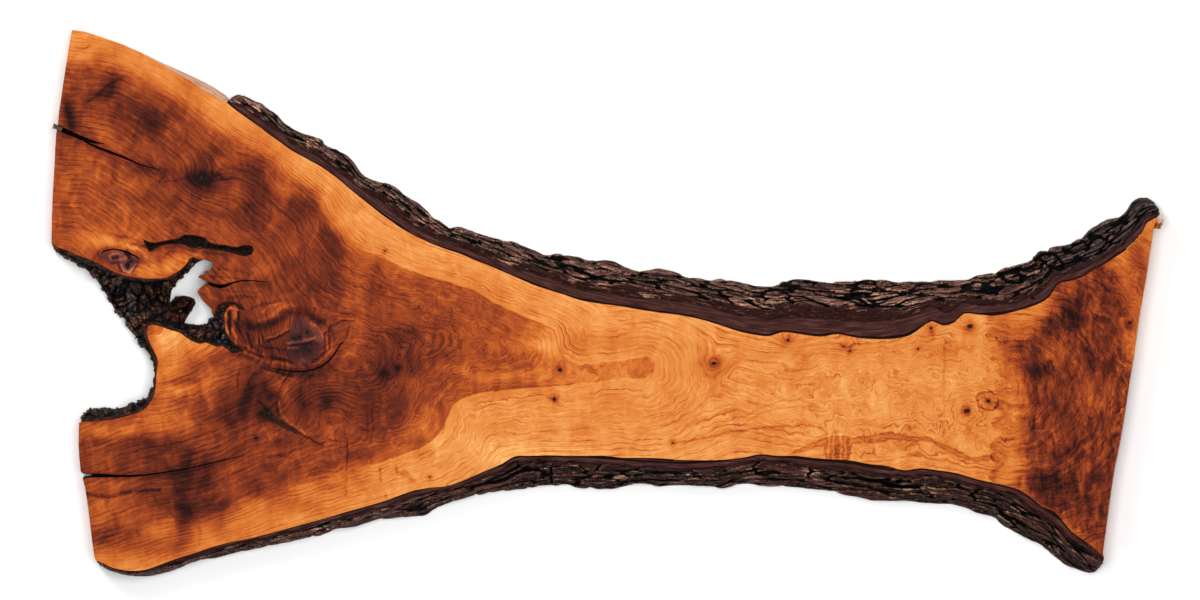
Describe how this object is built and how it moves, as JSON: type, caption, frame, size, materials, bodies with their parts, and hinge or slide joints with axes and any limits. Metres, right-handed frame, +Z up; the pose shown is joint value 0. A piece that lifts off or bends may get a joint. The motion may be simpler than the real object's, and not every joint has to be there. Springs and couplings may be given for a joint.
{
  "type": "walnut wood slab",
  "caption": "Live-edge walnut slab sawn lengthwise through a trunk's fork, with bark along both long edges, drying checks and a bark-walled hole in the crotch.",
  "frame": {"origin": "under the middle of the slab's box, on the surface that it lies on", "axes": "+X along the trunk from the fork to the butt, +Y across it towards the longer limb, +Z up through the thickness"},
  "size_m": [2.2274, 1.0941, 0.06],
  "materials": {
    "oiled_walnut": "sanded and oiled, satin",
    "walnut_bark": "rough bark with a sawn inner band",
    "fork_bark": "black, rough included bark",
    "torn_wood": "torn, resinous"
  },
  "bodies": {
    "root": {"walnut_wood": "oiled_walnut", "upper_edge_bark": "walnut_bark", "lower_edge_bark": "walnut_bark", "fork_bark": "fork_bark", "included_bark": "fork_bark", "check_splinter": "torn_wood", "butt_chip": "torn_wood"}
  },
  "joints": []
}
